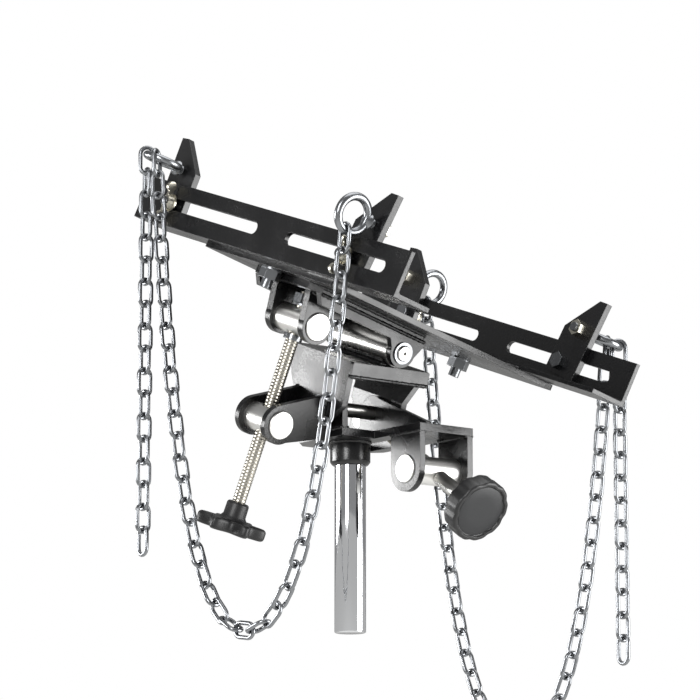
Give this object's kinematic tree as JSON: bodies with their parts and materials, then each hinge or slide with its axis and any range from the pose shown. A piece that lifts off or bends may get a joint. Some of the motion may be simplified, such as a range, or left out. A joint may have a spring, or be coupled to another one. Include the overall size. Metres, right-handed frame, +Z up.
{
  "type": "transmission jack",
  "caption": "Tilting saddle head of a telescopic transmission jack on its ram, with screw-adjusted fore and side tilt, sliding finger brackets and hold-down chains.",
  "frame": {"origin": "centre of the ram's lower end", "axes": "+Z up along the ram, +X towards the rear rail, -Y towards the adjusting knobs"},
  "size_m": [0.35, 0.4118, 0.5506],
  "materials": {
    "black_paint": "gloss",
    "bright_steel": "polished",
    "zinc_plate": "bright",
    "yellow_zinc": "bright",
    "black_plastic": "matte"
  },
  "bodies": {
    "base": {"ram": "bright_steel", "ram_collar": "black_paint", "collar_screw": "zinc_plate", "base_plate": "black_paint", "base_ear_left": "black_paint", "base_ear_right": "black_paint", "side_pivot_shaft": "bright_steel", "side_pivot_rings": "zinc_plate", "trunnion_leg_left": "black_paint", "trunnion_leg_right": "black_paint"},
    "tilt_yoke": {"mid_yoke": "black_paint", "mid_front_plate": "black_paint", "side_screw_lug": "black_paint", "fore_lower_ear_near": "black_paint", "fore_lower_ear_far": "black_paint", "fore_pivot_barrel": "bright_steel"},
    "saddle": {"upper_yoke": "black_paint", "pivot_flange_near": "black_paint", "pivot_flange_far": "black_paint", "fore_upper_ear_near": "black_paint", "fore_upper_ear_far": "black_paint", "fore_pivot_pin": "bright_steel", "fore_pin_rings": "zinc_plate", "saddle_plate": "black_paint", "plate_bolts": "zinc_plate", "plate_nuts": "zinc_plate", "front_rail": "black_paint", "rear_rail": "black_paint"},
    "fore_trunnion_top": {"fore_trunnion_upper": "bright_steel"},
    "fore_screw_set": {"fore_screw": "bright_steel", "fore_screw_nuts": "zinc_plate", "star_knob": "black_plastic"},
    "fore_trunnion_low": {"fore_trunnion_lower": "bright_steel"},
    "side_trunnion_low": {"side_trunnion_base": "bright_steel"},
    "side_screw_set": {"side_screw": "bright_steel", "side_screw_sleeve": "bright_steel", "side_knob": "black_plastic"},
    "side_trunnion_top": {"side_trunnion_yoke": "bright_steel"},
    "bracket_front_left": {"finger_front_left": "black_paint", "clamp_bolt_front_left": "zinc_plate", "eye_bolt_front_left": "zinc_plate", "nuts_front_left": "yellow_zinc"},
    "bracket_front_right": {"finger_front_right": "black_paint", "clamp_bolt_front_right": "zinc_plate", "eye_bolt_front_right": "zinc_plate", "nuts_front_right": "yellow_zinc"},
    "bracket_rear_left": {"finger_rear_left": "black_paint", "clamp_bolt_rear_left": "zinc_plate", "eye_bolt_rear_left": "zinc_plate", "nuts_rear_left": "yellow_zinc"},
    "bracket_rear_right": {"finger_rear_right": "black_paint", "clamp_bolt_rear_right": "zinc_plate", "eye_bolt_rear_right": "zinc_plate", "nuts_rear_right": "yellow_zinc"},
    "loop_front": {"chain_loop_front": "zinc_plate"},
    "loop_rear": {"chain_loop_rear": "zinc_plate"},
    "tail_link_front_body": {"tail_link_front": "zinc_plate"},
    "tail_front": {"chain_tail_front": "zinc_plate"},
    "tail_link_rear_body": {"tail_link_rear": "zinc_plate"},
    "tail_rear": {"chain_tail_rear": "zinc_plate"}
  },
  "joints": [
    {"name": "side_tilt", "type": "hinge", "parent": "base", "child": "tilt_yoke", "pos_m": [0, -0.015, 0.196], "axis": [1, 0, 0], "range_deg": [-34.6, 2.4]},
    {"name": "fore_tilt", "type": "hinge", "parent": "tilt_yoke", "child": "saddle", "pos_m": [0.005, -0.0214, 0.25869], "axis": [0, 0.9421, 0.3355], "range_deg": [-13.4, 12]},
    {"name": "fore_trunnion_top_swivel", "type": "hinge", "parent": "saddle", "child": "fore_trunnion_top", "pos_m": [-0.07702, -0.02475, 0.26809], "axis": [0, 0.9421, 0.3355], "range_deg": [-12.6, 14.2]},
    {"name": "fore_screw_turn", "type": "hinge", "parent": "fore_trunnion_top", "child": "fore_screw_set", "pos_m": [-0.07702, -0.02475, 0.26809], "axis": [-0.1366, 0.3323, -0.9332], "range_deg": [-2120, 2360]},
    {"name": "fore_trunnion_low_swivel", "type": "hinge", "parent": "tilt_yoke", "child": "fore_trunnion_low", "pos_m": [-0.0895, 0.0056, 0.18285], "axis": [0, 0.9421, 0.3355], "range_deg": [-0.6, 0.6]},
    {"name": "side_trunnion_low_swivel", "type": "hinge", "parent": "base", "child": "side_trunnion_low", "pos_m": [0.032, -0.0755, 0.1385], "axis": [1, 0, 0], "range_deg": [-6.6, 0.7]},
    {"name": "side_screw_turn", "type": "hinge", "parent": "side_trunnion_low", "child": "side_screw_set", "pos_m": [0.032, -0.0755, 0.1385], "axis": [0, 0.8401, 0.5425], "range_deg": [-170, 2200]},
    {"name": "side_trunnion_top_swivel", "type": "hinge", "parent": "tilt_yoke", "child": "side_trunnion_top", "pos_m": [0.032, 0.012, 0.195], "axis": [1, 0, 0], "range_deg": [-2.2, 28.8]},
    {"name": "bracket_slide_front_left", "type": "slide", "parent": "saddle", "child": "bracket_front_left", "axis": [0, 0.9421, 0.3355], "range_m": [-0.134, 0.0012], "deforming": ["chain_loop_front"]},
    {"name": "bracket_slide_front_right", "type": "slide", "parent": "saddle", "child": "bracket_front_right", "axis": [0, 0.9421, 0.3355], "range_m": [-0.051, 0.084], "deforming": ["chain_loop_front"]},
    {"name": "bracket_slide_rear_left", "type": "slide", "parent": "saddle", "child": "bracket_rear_left", "axis": [0, 0.9421, 0.3355], "range_m": [-0.101, 0.034], "deforming": ["chain_loop_rear"]},
    {"name": "bracket_slide_rear_right", "type": "slide", "parent": "saddle", "child": "bracket_rear_right", "axis": [0, 0.9421, 0.3355], "range_m": [-0.058, 0.077], "deforming": ["chain_loop_rear"]},
    {"name": "loop_front_swing", "type": "hinge", "parent": "saddle", "child": "loop_front", "pos_m": [-0.14165, 0.09352, 0.42486], "axis": [0, 0.9421, 0.3355], "range_deg": [-2, 25]},
    {"name": "loop_rear_swing", "type": "hinge", "parent": "saddle", "child": "loop_rear", "pos_m": [0.16672, 0.08707, 0.34458], "axis": [0, 0.9421, 0.3355], "range_deg": [-25, 2]},
    {"name": "tail_link_front_swing", "type": "hinge", "parent": "bracket_front_left", "child": "tail_link_front_body", "pos_m": [-0.15445, 0.09965, 0.43028], "axis": [0, 0.9421, 0.3355], "range_deg": [-0.5, 20]},
    {"name": "tail_front_swing", "type": "hinge", "parent": "tail_link_front_body", "child": "tail_front", "pos_m": [-0.15445, 0.09965, 0.41446], "axis": [1, 0, 0], "range_deg": [-15, 15]},
    {"name": "tail_link_rear_swing", "type": "hinge", "parent": "bracket_rear_right", "child": "tail_link_rear_body", "pos_m": [0.17953, -0.15929, 0.25362], "axis": [0, 0.9421, 0.3355], "range_deg": [-20, 0.5]},
    {"name": "tail_rear_swing", "type": "hinge", "parent": "tail_link_rear_body", "child": "tail_rear", "pos_m": [0.17953, -0.15929, 0.23779], "axis": [1, 0, 0], "range_deg": [-15, 15]}
  ],
  "couplings": [
    {"joint": "fore_trunnion_top_swivel", "follows": "fore_tilt", "ratio": -1.025},
    {"joint": "fore_screw_turn", "follows": "fore_tilt", "ratio": -171.4},
    {"joint": "fore_trunnion_low_swivel", "follows": "fore_tilt", "ratio": -0.025},
    {"joint": "side_trunnion_low_swivel", "follows": "side_tilt", "ratio": 0.18},
    {"joint": "side_screw_turn", "follows": "side_tilt", "ratio": -62.4},
    {"joint": "side_trunnion_top_swivel", "follows": "side_tilt", "ratio": -0.82}
  ]
}
